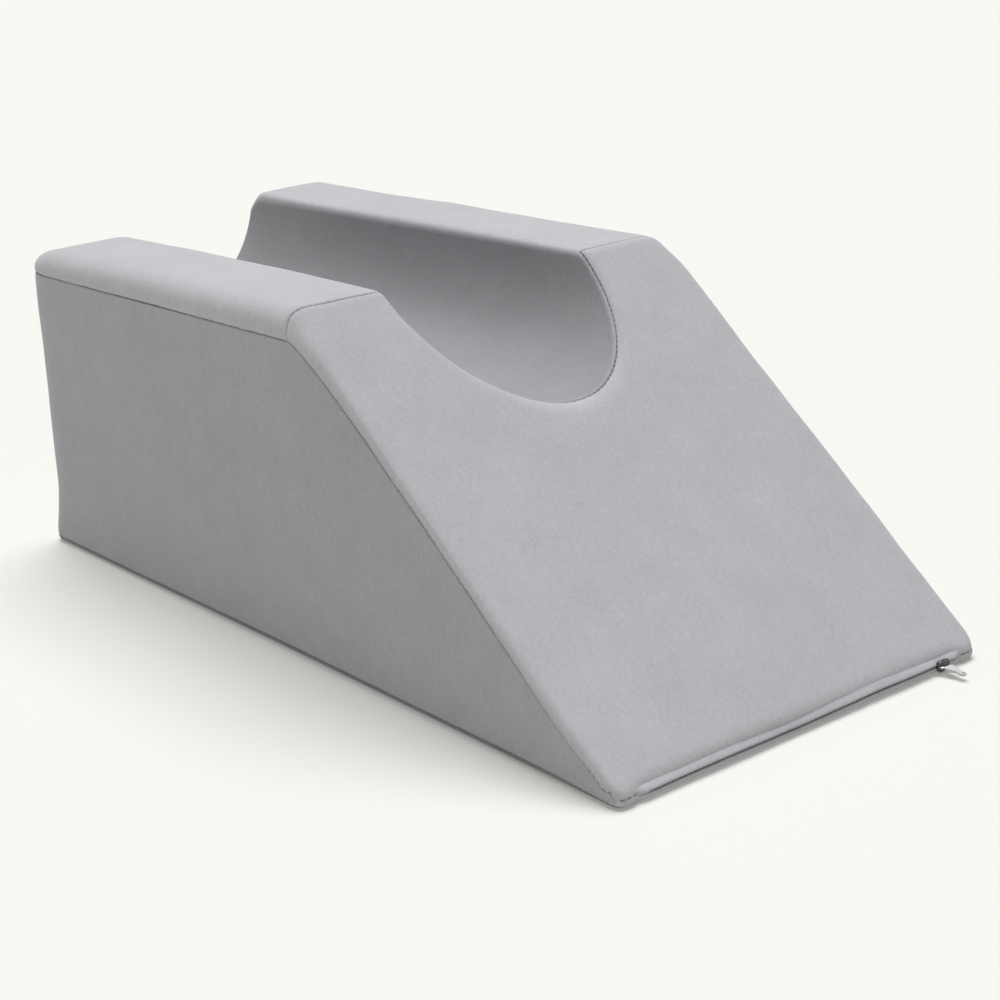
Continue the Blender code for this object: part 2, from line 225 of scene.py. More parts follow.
# Stations of the fine lattice: steps from each edge and seam, in metres
BACK_STEPS = (0.0, 0.001, 0.0022, 0.0036, 0.0052, 0.007, 0.009, 0.0115, 0.0145, 0.018, 0.022, 0.027)
SEAM_STEPS = (0.0, 0.0003, 0.0006, 0.0010, 0.0016, 0.0025, 0.0040, 0.0062, 0.0095)
CREST_STEPS = (0.0, 0.0008, 0.0018, 0.003, 0.0045, 0.0065, 0.009, 0.0125, 0.017)
TOE_STEPS = (0.0, 0.0010, 0.0022, 0.0036, 0.0054, 0.0078, 0.011, 0.015)
SIDE_STEPS = (0.0, 0.0009, 0.0019, 0.0031, 0.0045, 0.0061, 0.008, 0.0104, 0.0135, 0.018)
RIM_STEPS = (0.0, 0.0012, 0.0026, 0.0042, 0.006, 0.0082, 0.011, 0.0145)
BASE_STEPS = (0.0, 0.0008, 0.0017, 0.0025, 0.0031, 0.0036, BASE_SEAM_RISE, 0.0044, 0.0050, 0.0058, 0.0072,
              0.0095, 0.013, 0.018)
BAND_SHARES = (0.0, 0.020, 0.042, 0.072, 0.115, 0.18, 0.26, 0.36, 0.47, 0.58, 0.69, 0.79, 0.88, 0.95, 1.0)
SEAM_TO_CREST_SHARES = (0.12, 0.24, 0.42, 0.68)
LEAST_BAND = 0.0018
ROOM_FOR_STEPS = 1.3
COLUMNS_EVEN_AFTER = 0.83
ROWS_ALONG_RAIL = 56
ROWS_DOWN_SLOPE = 46
ROWS_UP_SIDE = 24
COLUMNS_IN_RAIL = 5
CHANNEL_COLUMNS = 52
CHANNEL_COLUMN_SHIFT = 0.09

# Camera solved from the photograph's straight edges, in the frame
CAMERA_AZIMUTH = 54.0411
CAMERA_ELEVATION = 17.8343
CAMERA_ROLL = -4.5515
CAMERA_DISTANCE = 1.25408
CAMERA_TARGET = (0.00909, 0.03430, 0.05140)
CAMERA_FOCAL_PX = 2002.29
FRAME_PX = 1000.0
SENSOR_MM = 36.0

# The floor lies just below the pillow's flat underside
FLOOR_REACH = 60.0
FLOOR_BELOW = 0.0002


# The pillow's skin, as in the CAD source

def smooth_max(a, b, reach):
    """The larger of two distances, with their meeting rounded over the given reach."""
    h = np.maximum(reach - np.abs(a - b), 0.0)
    return np.maximum(a, b) + h * h / (4.0 * reach)


def bump(t):
    """1 in the middle of a span and 0 at both its ends."""
    t = np.clip(t, 0.0, 1.0)
    return 4.0 * t * (1.0 - t)


def ease(t):
    """A soft step from 0 to 1."""
    t = np.clip(t, 0.0, 1.0)
    return t * t * (3.0 - 2.0 * t)


def crest_x(y):
    """Where the flat rails end and the slope starts."""
    return CREST_FROM_BACK + CREST_SKEW * y / WIDTH


def slope_fall(y):
    """How much the slope falls for each metre along."""
    return (HEIGHT - TOE_HEIGHT) / (LENGTH - crest_x(y))


def roof_line(x, y):
    """Height of the rails' top, then of the slope, seen from the side."""
    return np.minimum(HEIGHT, HEIGHT - (x - crest_x(y)) * slope_fall(y))


def seam_line(x, y):
    """Height of the seam along each side: it rises towards the edge just past the crest."""
    past = max(x - crest_x(y), 0.0)
    drop = SLOPE_SEAM_DROP + (SIDE_SEAM_DROP - SLOPE_SEAM_DROP) * np.exp(-past / SEAM_DROP_FADE)
    return max(roof_line(x, y) - drop, SIDE_SEAM_END)


def back_x(y, z):
    """Where the back face stands: it leans a little, and the far rail reaches further."""
    up = np.clip(z / HEIGHT, 0.0, 1.0)
    skew = BACK_SKEW_BASE + (BACK_SKEW_TOP - BACK_SKEW_BASE) * ease(up)
    across = y / WIDTH + 0.5
    pull = NEAR_RAIL_PULL * up ** 4 * bump(across / NEAR_PULL_SPAN)
    return BACK_LEAN * (up - 0.5) + pull - skew * ease((across - BACK_STEP_START) / BACK_STEP_SPAN)


def rail_height(x, y):
    """Height of the rails' flat top, with the slight twist at the back."""
    away = np.clip(1.0 - x / CREST_FROM_BACK, 0.0, 1.0)
    twist = 1.0 - 0.5 * (1.0 - y / (0.5 * WIDTH)) ** 2
    crown = CROWN_RAIL * bump((0.5 * WIDTH - np.abs(y)) / (0.5 * WIDTH - CHANNEL_HALF_WIDTH))
    return HEIGHT + crown - TOP_TILT * y / WIDTH + BACK_TWIST * away ** 3 * twist


def skin_distance(p):
    """Signed distance from points to the pillow's skin, below zero inside it."""
    x, y, z = p[:, 0], p[:, 1], p[:, 2]
    start = back_x(y, z)
    along = (x - start) / (LENGTH - start)
    across = y / WIDTH + 0.5
    roof_height = roof_line(x, y)
    up = z / np.maximum(roof_height, TOE_HEIGHT)
    tall = np.clip(roof_height / HEIGHT, 0.0, 1.0)

    above_base = ease(z / BASE_EDGE_RISE)
    tuck = BASE_TUCK * ease(along / TUCK_FULL_AT) * (1.0 - above_base) * (1.0 - ease(across))
    side = np.abs(y) - 0.5 * WIDTH - CROWN_SIDE * bump(along) * bump(up) * tall + tuck
    back = start - x - CROWN_BACK * bump(across) * bump(z / HEIGHT)
    round_corner = np.clip((np.abs(y) - 0.5 * WIDTH) / TOE_CORNER + 1.0, 0.0, 0.97)
    behind_lips = 1.0 - ease((np.abs(y) - LIP_HALF_LENGTH - GAP) / TOE_FILL)
    toe = x - LENGTH + (LIP_THICK + GAP) * behind_lips
    toe = toe + TOE_CORNER * (1.0 - np.sqrt(1.0 - round_corner ** 2))
    base = -z
    crest = crest_x(y)
    top = z - rail_height(x, y) - CROWN_TOP * bump(x / crest)
    angle = np.arctan(slope_fall(y))
    slope = (x - crest) * np.sin(angle) + (z - HEIGHT) * np.cos(angle)
    slope = slope - CROWN_SLOPE * bump((x - crest) / (LENGTH - crest)) * bump(across)

    depth = np.maximum(HEIGHT - z, 0.0)
    q = np.sqrt((y / CHANNEL_HALF_WIDTH) ** 2 + (depth / CHANNEL_DEPTH) ** 2) + 1e-9
    fall = np.sqrt((y / CHANNEL_HALF_WIDTH ** 2) ** 2 + (depth / CHANNEL_DEPTH ** 2) ** 2) + 1e-9
    channel = (1.0 - q) * q / fall

    roof = smooth_max(top, smooth_max(slope, toe, TOE_BLEND), CREST_BLEND)
    roof = smooth_max(roof, channel, RIM_BLEND)

    on_slope = ease((x - crest) / EDGE_CHANGE)
    roof_edge = EDGE_RAIL + (EDGE_SLOPE - EDGE_RAIL) * on_slope
    side_edge = EDGE_AT_BASE + (roof_edge - EDGE_AT_BASE) * above_base
    from_side = (0.5 * WIDTH - np.abs(y)) / (0.5 * WIDTH - CHANNEL_HALF_WIDTH)
    in_channel = ease(depth / CHANNEL_EDGE_FADE) * ease(from_side)
    back_edge = EDGE_BACK_NEAR + (EDGE_BACK - EDGE_BACK_NEAR) * ease(across)
    back_edge = EDGE_BACK_AT_BASE + (back_edge - EDGE_BACK_AT_BASE) * above_base
    back_edge = back_edge + (EDGE_IN_CHANNEL - back_edge) * in_channel * above_base
    roof_edge = roof_edge + (EDGE_IN_CHANNEL - roof_edge) * in_channel
    parts = ((side, side_edge), (back, back_edge), (roof, roof_edge), (base, EDGE_BASE))
    total = sum(np.maximum(d / edge + 1.0, 0.0) ** 2 for d, edge in parts)
    return (np.sqrt(total) - 1.0) * EDGE_BASE


def skin_normals(p):
    """Outward direction of the skin, and how fast the distance grows along it."""
    step = 1e-5
    grad = np.zeros_like(p)
    for axis in range(3):
        shift = np.zeros(3)
        shift[axis] = step
        grad[:, axis] = (skin_distance(p + shift) - skin_distance(p - shift)) / (2.0 * step)
    size = np.linalg.norm(grad, axis=1, keepdims=True)
    return grad / np.maximum(size, 1e-6), np.maximum(size[:, 0], 1e-3)


def settle_on_skin(p, rounds=14, stride=0.004, level=False):
    """Move points along the skin's own normals until they lie on it; level keeps their heights."""
    for _ in range(rounds):
        normal, size = skin_normals(p)
        if level:
            flat = np.linalg.norm(normal[:, :2], axis=1)
            normal = normal * (1.0, 1.0, 0.0) / np.maximum(flat, 0.2)[:, None]
            size = size * np.maximum(flat, 0.2)
        move = np.clip(skin_distance(p) / size, -stride, stride)
        p = p - normal * move[:, None]
    return p


def spread(total, low, high, middle):
    """Stations from 0 to total: fixed steps at both ends, even steps between."""
    fit = min(1.0, total / (ROOM_FOR_STEPS * (low[-1] + high[-1])))
    start = [d * fit for d in low]
    stop = [total - d * fit for d in reversed(high)]
    inner = [start[-1] + (stop[0] - start[-1]) * n / (middle + 1.0) for n in range(1, middle + 1)]
    return start + inner + stop


def cross_stations():
    """Across the top: each column's y and depth below the rail, then those of the back seam under it."""
    rail = 0.5 * WIDTH - CHANNEL_HALF_WIDTH
    seam_half_width = CHANNEL_HALF_WIDTH + SIDE_SEAM_DROP
    seam_depth = CHANNEL_DEPTH + SIDE_SEAM_DROP
    first_angle = np.arcsin(SIDE_SEAM_DROP / seam_depth)
    squeeze = (0.5 * WIDTH - seam_half_width * np.cos(first_angle)) / rail
    near = []
    for d in spread(rail, SIDE_STEPS, RIM_STEPS, COLUMNS_IN_RAIL):
        near.append((d - 0.5 * WIDTH, 0.0, d * squeeze - 0.5 * WIDTH, SIDE_SEAM_DROP))
    columns = list(near)
    for step in range(CHANNEL_COLUMNS):
        share = (step + 1.0) / (CHANNEL_COLUMNS + 1.0)
        angle = 180.0 * (share - CHANNEL_COLUMN_SHIFT * np.sin(2.0 * pi * share))
        turn = radians(angle)
        seam_turn = first_angle + (pi - 2.0 * first_angle) * angle / 180.0
        columns.append((-CHANNEL_HALF_WIDTH * np.cos(turn), CHANNEL_DEPTH * np.sin(turn),
                        -seam_half_width * np.cos(seam_turn), seam_depth * np.sin(seam_turn)))
    columns += [(-y, depth, -seam_y, drop) for y, depth, seam_y, drop in reversed(near)]
    return columns


def upright(roof, seam):
    """Heights from the base up to the seam, then through the rounded band to the roof."""
    band = [seam + (roof - seam) * share for share in BAND_SHARES]
    return spread(seam, BASE_STEPS, SEAM_STEPS, ROWS_UP_SIDE)[:-1] + band


def length_rows(rim):
    """Rows from the back to the seam of one column, on to the rim, then down the slope to the toe."""
    before = spread(rim - CREST_SEAM_BACK, BACK_STEPS, SEAM_STEPS, ROWS_ALONG_RAIL)
    between = [rim - CREST_SEAM_BACK * (1.0 - share) for share in SEAM_TO_CREST_SHARES]
    after = spread(LENGTH - rim, CREST_STEPS, TOE_STEPS, ROWS_DOWN_SLOPE)
    return before + between + [rim + d for d in after]


def lattice_faces(counts, number):
    """Quads of the outside of a box lattice, each turned outwards."""
    faces = []
    for axis in range(3):
        u, v = (axis + 1) % 3, (axis + 2) % 3
        for end in (0, counts[axis]):
            for a in range(counts[u]):
                for b in range(counts[v]):
                    quad = []
                    for da, db in ((0, 0), (1, 0), (1, 1), (0, 1)):
                        key = [0, 0, 0]
                        key[axis], key[u], key[v] = end, a + da, b + db
                        quad.append(number[tuple(key)])
                    faces.append(quad if end else quad[::-1])
    return faces


def back_point(column, foot_y, share_down, level):
    """A point of the back face: a band along the top profile, then straight lines to the base."""
    y, depth, seam_y, seam_depth = column
    edge = Vector((y, HEIGHT - depth))
    seam = Vector((seam_y, HEIGHT - seam_depth))
    if share_down <= 1.0:
        return edge.lerp(seam, share_down)
    return seam.lerp(Vector((foot_y, 0.0)), 1.0 - level)


def cover_lattice():
    """Sharp positions and faces of the cover, with the lattice rows that its seams follow."""
    columns = cross_stations()
    last_j = len(columns) - 1
    across = spread(WIDTH, SIDE_STEPS, SIDE_STEPS, last_j + 1 - 2 * len(SIDE_STEPS))
    even_y = [y - 0.5 * WIDTH for y in across]
    side_z = upright(HEIGHT, HEIGHT - SIDE_SEAM_DROP)
    last_k = len(side_z) - 1
    seam_k = last_k - len(BAND_SHARES) + 1
    base_k = BASE_STEPS.index(BASE_SEAM_RISE)
    seam_row = len(BACK_STEPS) + ROWS_ALONG_RAIL + len(SEAM_STEPS) - 1
    last_i = len(length_rows(CREST_FROM_BACK)) - 1

    number, points = {}, []
    for i in range(last_i + 1):
        for j in range(last_j + 1):
            on_edge = i in (0, last_i) or j in (0, last_j)
            for k in range(last_k + 1) if on_edge else (0, last_k):
                column_y, depth = columns[j][:2]
                share = side_z[k] / HEIGHT
                rim = crest_x(column_y) + share * depth / slope_fall(column_y)
                x = length_rows(rim)[i]
                down = max(x - rim, 0.0) / (LENGTH - rim)
                y = even_y[j] + (column_y - even_y[j]) * share * (1.0 - ease(down / COLUMNS_EVEN_AFTER))
                roof = roof_line(x, y) if x > rim else HEIGHT - depth
                z = upright(roof, min(seam_line(x, y), roof - LEAST_BAND))[k] if k else 0.0
                if i == 0:
                    share_down = (HEIGHT - side_z[k]) / SIDE_SEAM_DROP
                    level = side_z[k] / side_z[seam_k]
                    y, z = back_point(columns[j], even_y[j], share_down, level)
                x = x + back_x(y, z) * max(0.0, 1.0 - x / crest_x(y))
                number[(i, j, k)] = len(points)
                points.append((x, y, z))
    faces = lattice_faces((last_i, last_j, last_k), number)
    ends = (last_i, last_j, last_k)
    return np.array(points), faces, number, ends, seam_row, seam_k, base_k


def seam_paths(skin, number, ends, seam_row, seam_k, base_k):
    """Each seam as a line of points on the skin, by name."""
    last_i, last_j, last_k = ends

    def line(keys):
        return np.array([skin[number[key]] for key in keys])

    paths = {}
    for side, j in (("near", 0), ("far", last_j)):
        paths["side_" + side] = line((i, j, seam_k) for i in range(last_i + 1))
        paths["base_" + side] = line((i, j, base_k) for i in range(last_i))
    paths["back"] = line((0, j, seam_k) for j in range(last_j + 1))
    paths["base_back"] = line((0, j, base_k) for j in range(last_j + 1))
    down_near = [(seam_row, 0, k) for k in range(seam_k, last_k)]
    down_far = [(seam_row, last_j, k) for k in range(last_k - 1, seam_k - 1, -1)]
    over = [(seam_row, j, last_k) for j in range(last_j + 1)]
    paths["crest"] = line(down_near + over + down_far)
    paths["toe"] = line((last_i, j, seam_k) for j in range(last_j + 1))
    return paths


def even_points(path, gap):
    """Points along a line at one distance from each other."""
    steps = np.linalg.norm(np.diff(path, axis=0), axis=1)
    run = np.concatenate([[0.0], np.cumsum(steps)])
    count = max(int(round(run[-1] / gap)), 1)
    at = np.linspace(0.0, run[-1], count + 1)
    return np.stack([np.interp(at, run, path[:, axis]) for axis in range(3)], axis=1), at


def distance_to_path(p, path):
    """Distance from each point to a line, and how far along the line its nearest point is."""
    fine, at = even_points(path, SEAM_SAMPLE)
    tree = kdtree.KDTree(len(fine))
    for index, point in enumerate(fine):
        tree.insert(point, index)
    tree.balance()
    nearest = np.array([tree.find(point)[1] for point in p])
    best = np.full(len(p), 1e9)
    along = np.zeros(len(p))
    for shift in (-1, 0):
        a = np.clip(nearest + shift, 0, len(fine) - 2)
        start, span = fine[a], fine[a + 1] - fine[a]
        share = np.clip(np.sum((p - start) * span, 1) / np.sum(span * span, 1), 0.0, 1.0)
        d = np.linalg.norm(p - start - span * share[:, None], axis=1)
        closer = d < best
        best = np.where(closer, d, best)
        along = np.where(closer, at[a] + share * (at[a + 1] - at[a]), along)
    return best, along


def seam_share(name, roof):
    """How much of a seam's full depth shows: less along the base and where the pillow is low."""
    share = np.clip(roof / SEAM_FULL_ABOVE, SEAM_LEAST_SHARE, 1.0)
    return share * (BASE_SEAM_SHARE if "base" in name else 1.0)


def waves(p, seed, wavelength, count=10):
    """A smooth random field of about plus or minus 1, made of a few plane waves."""
    rng = np.random.default_rng(seed)
    total = np.zeros(len(p))
    for _ in range(count):
        direction = rng.normal(size=3)
        direction /= np.linalg.norm(direction)
        reach = wavelength * rng.uniform(*WAVE_SPREAD)
        total += np.sin(2.0 * pi * (p @ direction) / reach + rng.uniform(0.0, 2.0 * pi))
    return total / np.sqrt(0.5 * count) / WAVE_PEAK


# Materials

def new_material(name):
    """A material with its shader and a noise-ready coordinate node."""
    made = bpy.data.materials.new(name)
    made.use_nodes = True
    tree = made.node_tree
    shader = tree.nodes["Principled BSDF"]
    where = tree.nodes.new("ShaderNodeTexCoord")
    return made, tree, shader, where.outputs["Object"]


def noise(tree, where, scale, detail=2.0, roughness=0.5, stretch=(1.0, 1.0, 1.0)):
    """A noise value over the surface, stretched along any axis."""
    place = tree.nodes.new("ShaderNodeMapping")
    place.inputs["Scale"].default_value = stretch
    tree.links.new(where, place.inputs["Vector"])
    made = tree.nodes.new("ShaderNodeTexNoise")
    made.inputs["Scale"].default_value = scale
    made.inputs["Detail"].default_value = detail
    made.inputs["Roughness"].default_value = roughness
    tree.links.new(place.outputs["Vector"], made.inputs["Vector"])
    return made.outputs["Fac"]


def remap(tree, value, low, high, to_low, to_high):
    """A value stretched from one range to another."""
    made = tree.nodes.new("ShaderNodeMapRange")
    for name, number in (("From Min", low), ("From Max", high), ("To Min", to_low), ("To Max", to_high)):
        made.inputs[name].default_value = number
    tree.links.new(value, made.inputs["Value"])
    return made.outputs["Result"]


def combine(tree, how, a, b):
    """Two values joined by one operation, such as ADD or MULTIPLY."""
    made = tree.nodes.new("ShaderNodeMath")
    made.operation = how
    for slot, item in zip(made.inputs, (a, b)):
        if isinstance(item, float):
            slot.default_value = item
        else:
            tree.links.new(item, slot)
    return made.outputs["Value"]


def swing(tree, value, low, high):
    """The contrast of a noise, stretched between two values."""
    return remap(tree, value, NOISE_LOW, NOISE_HIGH, low, high)


def shade_of(tree, colour, factor):
    """A colour made lighter or darker by a factor that varies."""
    made = tree.nodes.new("ShaderNodeVectorMath")
    made.operation = "SCALE"
    made.inputs[0].default_value = colour
    tree.links.new(factor, made.inputs["Scale"])
    return made.outputs["Vector"]


def painted_shade_in_channel(tree, where):
    """Painted shade: darker on the channel's skin, a little inside its rim, and 1 on the rest of the top and
    slope.
    """
    split = tree.nodes.new("ShaderNodeSeparateXYZ")
    tree.links.new(where, split.inputs["Vector"])
    fall = (HEIGHT - TOE_HEIGHT) / (LENGTH - CREST_FROM_BACK)
    slope = tree.nodes.new("ShaderNodeVectorMath")
    slope.operation = "DOT_PRODUCT"
    slope.inputs[1].default_value = (-fall, 0.0, -1.0)
    tree.links.new(where, slope.inputs[0])
    level = HEIGHT + fall * (CREST_FROM_BACK - MIDDLE_FROM_BACK)
    start, end = RIM_SHADE_START - level, RIM_SHADE_END - level
    under_slope = remap(tree, slope.outputs["Value"], start, end, 0.0, 1.0)
    from_middle = combine(tree, "ABSOLUTE", split.outputs["Y"], 0.0)
    side_limit = CHANNEL_HALF_WIDTH + RIM_SHADE_SIDE
    between_rails = remap(tree, from_middle, CHANNEL_HALF_WIDTH, side_limit, 1.0, 0.0)
    under_rails = remap(tree, split.outputs["Z"], HEIGHT - RIM_SHADE_END, HEIGHT - RIM_SHADE_START, 1.0, 0.0)
    amount = combine(tree, "MULTIPLY", under_slope, between_rails)
    amount = combine(tree, "MULTIPLY", amount, under_rails)
    return remap(tree, amount, 0.0, 1.0, 1.0, CHANNEL_PAINTED_SHADE)


def add_relief(tree, shader, height, strength, depth):
    """Fine relief from a height that varies over the surface."""
    relief = tree.nodes.new("ShaderNodeBump")
    relief.inputs["Strength"].default_value = strength
    relief.inputs["Distance"].default_value = depth
    tree.links.new(height, relief.inputs["Height"])
    tree.links.new(relief.outputs["Normal"], shader.inputs["Normal"])


def cloth(name, colour, sheen, with_channel_shade=False):
    """Short-napped cloth: a fine grain, soft mottling where the nap lies differently, a soft sheen, and
    painted shade in the channel if asked.
    """
    made, tree, shader, where = new_material(name)
    fine = noise(tree, where, 900.0, 2.0, 0.6)
    fibre = noise(tree, where, 420.0, 3.0, 0.65, (1.0, 1.0, 0.45))
    patch = noise(tree, where, 38.0, 4.0, 0.55)
    broad = noise(tree, where, 9.0, 2.0, 0.5)
    shade = combine(tree, "ADD", swing(tree, fine, -0.050, 0.050), swing(tree, fibre, -0.055, 0.055))
    shade = combine(tree, "ADD", shade, swing(tree, patch, -0.030, 0.030))
    shade = combine(tree, "ADD", shade, swing(tree, broad, 0.98, 1.02))
    # Painted shade: the channel's skin is darkened for the shade in that recess
    if with_channel_shade:
        shade = combine(tree, "MULTIPLY", shade, painted_shade_in_channel(tree, where))
    tree.links.new(shade_of(tree, colour, shade), shader.inputs["Base Color"])
    tree.links.new(swing(tree, patch, 0.93, 1.0), shader.inputs["Roughness"])
    shader.inputs["Specular IOR Level"].default_value = 0.15
    shader.inputs["Sheen Weight"].default_value = sheen
    shader.inputs["Sheen Roughness"].default_value = 0.45
    add_relief(tree, shader, combine(tree, "ADD", fine, fibre), 0.25, 0.0004)
    return made


def hard(name, colour, roughness, metallic):
    """A hard surface with fine unevenness in its colour and gloss."""
    made, tree, shader, where = new_material(name)
    mark = noise(tree, where, 300.0, 3.0, 0.6)
    tree.links.new(shade_of(tree, colour, swing(tree, mark, 0.92, 1.08)), shader.inputs["Base Color"])
    tree.links.new(swing(tree, mark, roughness - 0.07, roughness + 0.07), shader.inputs["Roughness"])
    shader.inputs["Metallic"].default_value = metallic
    add_relief(tree, shader, mark, 0.12, 0.0001)
    return made


# Pieces

def add_piece(name, points, faces, materials, replaced=()):
    """Put a smooth mesh in the scene, on the one body, in place of the CAD nodes it stands for."""
    mesh = bpy.data.meshes.new(name)
    moved = np.array(points, float) - (MIDDLE_FROM_BACK, 0.0, 0.0)
    mesh.from_pydata([tuple(row) for row in moved], [], faces)
    for surface in materials:
        mesh.materials.append(surface)
    mesh.shade_smooth()
    made = bpy.data.objects.new(name, mesh)
    bpy.context.scene.collection.objects.link(made)
    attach(made, "root")
    if replaced:
        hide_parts(*replaced)
    return made


def tube_faces(rings, sides):
    """Faces of a stack of rings of points, closed at both ends."""
    faces = []
    for ring in range(rings - 1):
        for side in range(sides):
            a, b = ring * sides + side, ring * sides + (side + 1) % sides
            faces.append((a, b, b + sides, a + sides))
    faces.append(tuple(reversed(range(sides))))
    faces.append(tuple(range((rings - 1) * sides, rings * sides)))
    return faces


def panels_at(key, last_j, seam_k):
    """Which of the back and side panels, up to their seams, a lattice point lies on."""
    i, j, k = key
    if k > seam_k:
        return set()
    edges = (("back", i == 0), ("near", j == 0), ("far", j == last_j))
    return {name for name, here in edges if here}


def make_cover(upper, under, shaded_panel):
    """The filled cover: crowned faces, rolled edges, seams drawn in, and fine unevenness."""
    sharp, faces, number, ends, seam_row, seam_k, base_k = cover_lattice()
    skin = settle_on_skin(sharp)
    paths = seam_paths(skin, number, ends, seam_row, seam_k, base_k)
    normal, _ = skin_normals(skin)
    roof = roof_line(skin[:, 0], skin[:, 1])

    inward = np.zeros(len(skin))
    away = {}
    for name, path in paths.items():
        away[name], along = distance_to_path(skin, path)
        tight = 1.0 - STITCH_PULL + STITCH_PULL * np.cos(2.0 * pi * along / STITCH_PITCH)
        crease = CREASE_DEPTH * np.exp(-(away[name] / CREASE_WIDTH) ** 2) * tight
        valley = VALLEY_DEPTH * np.exp(-away[name] / VALLEY_WIDTH)
        inward = np.maximum(inward, (crease + valley) * seam_share(name, roof))
    nearest = np.minimum.reduce(list(away.values()))

    beside = np.minimum(away["side_near"], away["side_far"])
    on_slope = ease((skin[:, 0] - crest_x(skin[:, 1])) / WELT_FROM_CREST) * (normal[:, 2] > WELT_UPWARD)
    fade = 1.0 - (1.0 - WELT_TOE_SHARE) * ease((skin[:, 0] - CREST_FROM_BACK) / (LENGTH - CREST_FROM_BACK))
    welt = WELT_HEIGHT * on_slope * fade * ease(beside / WELT_START)
    welt = welt * (1.0 - ease(beside / (WELT_WIDTH * fade)))

    broad, narrow, gather = (height * waves(skin, seed, length)
                             for seed, height, length in (UNEVEN_BROAD, UNEVEN_NARROW, UNEVEN_AT_SEAMS))
    uneven = broad + narrow + gather * np.exp(-nearest / UNEVEN_SEAM_REACH)
    uneven = uneven * ease(skin[:, 2] / UNEVEN_FROM_BASE)
    skin = skin + normal * (uneven + welt - inward)[:, None]
    skin[:, 2] = np.maximum(skin[:, 2], 0.0)

    cover = add_piece("cover", skin, faces, (upper, under, shaded_panel), ("cushion",))
    last_i, last_j, _ = ends
    # Painted shade: faces up to the base seam get the cover's grey darkened for the shade where it turns
    # under, and the side and back panels up to their seams a darker copy of it
    below = {n: key[2] <= base_k and (key[2] == 0 or key[0] < last_i) for key, n in number.items()}
    panels = {n: panels_at(key, last_j, seam_k) for key, n in number.items()}
    choice = []
    for face in faces:
        if all(below[n] for n in face):
            choice.append(1)
        elif set.intersection(*[panels[n] for n in face]):
            choice.append(2)
        else:
            choice.append(0)
    cover.data.polygons.foreach_set("material_index", choice)
    return paths


def capsule(start, end, radius, flat, sides=6):
    """A short rounded thread between two points, a little flattened towards the cloth."""
    start, end, flat = np.array(start), np.array(end), np.array(flat)
    along = end - start
    along = along / np.linalg.norm(along)
    across = np.cross(flat, along)
    points = []
    for place, grow in CAPSULE_RINGS:
        base = start + (end - start) * np.clip(place, 0.0, 1.0)
        base = base + along * radius * CAPSULE_END * (min(place, 0.0) + max(place - 1.0, 0.0))
        for side in range(sides):
            turn = 2.0 * pi * side / sides
            points.append(base + radius * grow * (cos(turn) * across + CAPSULE_FLATNESS * sin(turn) * flat))
    return points, tube_faces(len(CAPSULE_RINGS), sides)


def join(parts):
    """Several lists of points and faces as one."""
    points, faces = [], []
    for some_points, some_faces in parts:
        first = len(points)
        points.extend(some_points)
        faces.extend(tuple(first + index for index in face) for face in some_faces)
    return points, faces


def make_stitches(paths, surface):
    """One short thread at every stitch of every seam, lying in the crease."""
    parts = []
    for name, path in paths.items():
        spots, _ = even_points(path, STITCH_PITCH)
        ahead = np.gradient(spots, axis=0)
        ahead /= np.linalg.norm(ahead, axis=1, keepdims=True)
        out, _ = skin_normals(spots)
        sunk = (CREASE_DEPTH + VALLEY_DEPTH) * seam_share(name, roof_line(spots[:, 0], spots[:, 1]))
        middle = spots - out * (sunk - 0.6 * STITCH_THICK)[:, None]
        for spot, way, up in list(zip(middle, ahead, out))[1:-1]:
            half = 0.5 * STITCH_LENGTH * way
            share = STITCH_LEAST_SHARE + STITCH_SHARE_GAIN * max(spot[2] - SIDE_SEAM_END, 0.0)
            parts.append(capsule(spot - half, spot + half, STITCH_THICK * min(1.0, share), up))
    points, faces = join(parts)
    return add_piece("stitches", points, faces, (surface,))


def toe_path():
    """The line of the toe behind the lips, seen from above, with both corners."""
    start, corner = LENGTH - LIP_PATH_START, LENGTH - LIP_THICK - GAP
    side = 0.5 * WIDTH
    line = ((start, -side), (corner, -side), (corner, side), (start, side))
    flat, _ = even_points(np.array([(x, y, LIP_PATH_HEIGHT) for x, y in line]), LIP_PATH_STEP)
    return settle_on_skin(flat, level=True)


def lower_fold(thick, bottom, top):
    """The outline of the lower lip: flat underneath, round in front, folded in at the zip."""
    shape = [(share * thick, top - down * (top - bottom)) for share, down in LOWER_FOLD_SHARES]
    return [(LIP_BACK, bottom)] + shape[::-1] + [(LIP_BACK, top)]


def make_lip(name, profile, surface, replaced, closing):
    """A cloth lip swept along the toe, which sinks into the cover past the ends of the zip."""
    path = toe_path()
    path = path[np.abs(path[:, 1]) < LIP_HALF_LENGTH + LIP_END_REACH]
    normal, _ = skin_normals(path)
    flat = normal * (1.0, 1.0, 0.0)
    flat /= np.linalg.norm(flat, axis=1, keepdims=True)
    full = 1.0 - ease((np.abs(path[:, 1]) - LIP_HALF_LENGTH - GAP) / TOE_FILL)
    past_chain = np.maximum(path[:, 1] - CHAIN_END - LIPS_CLOSE_OVER, CHAIN_START - path[:, 1])
    shut = closing * ease(past_chain / LIPS_CLOSE_OVER)
    sway = LIP_SWAY * waves(path, 31, LIP_SWAY_LENGTH)
    bulge = LIP_BULGE * waves(path, 32, LIP_BULGE_LENGTH)
    points = []
    for index, point in enumerate(path):
        for out, height in profile:
            lift = height + shut[index] * max(0.0, 1.0 - abs(height - LIPS_MEET) / LIPS_MEET_BAND)
            lift = max(lift + sway[index] * ease((height - LIP_LOWER_BASE) / LIP_SWAY_RISE), LIP_LOWER_BASE)
            reach = (out + bulge[index]) * full[index] if out > 0.0 else out
            reach = reach - LIP_END_SINK * (1.0 - full[index])
            points.append(point * (1.0, 1.0, 0.0) + flat[index] * reach + np.array((0.0, 0.0, lift)))
    faces = [face[::-1] for face in tube_faces(len(path), len(profile))]
    return add_piece(name, points, faces, (surface,), replaced)


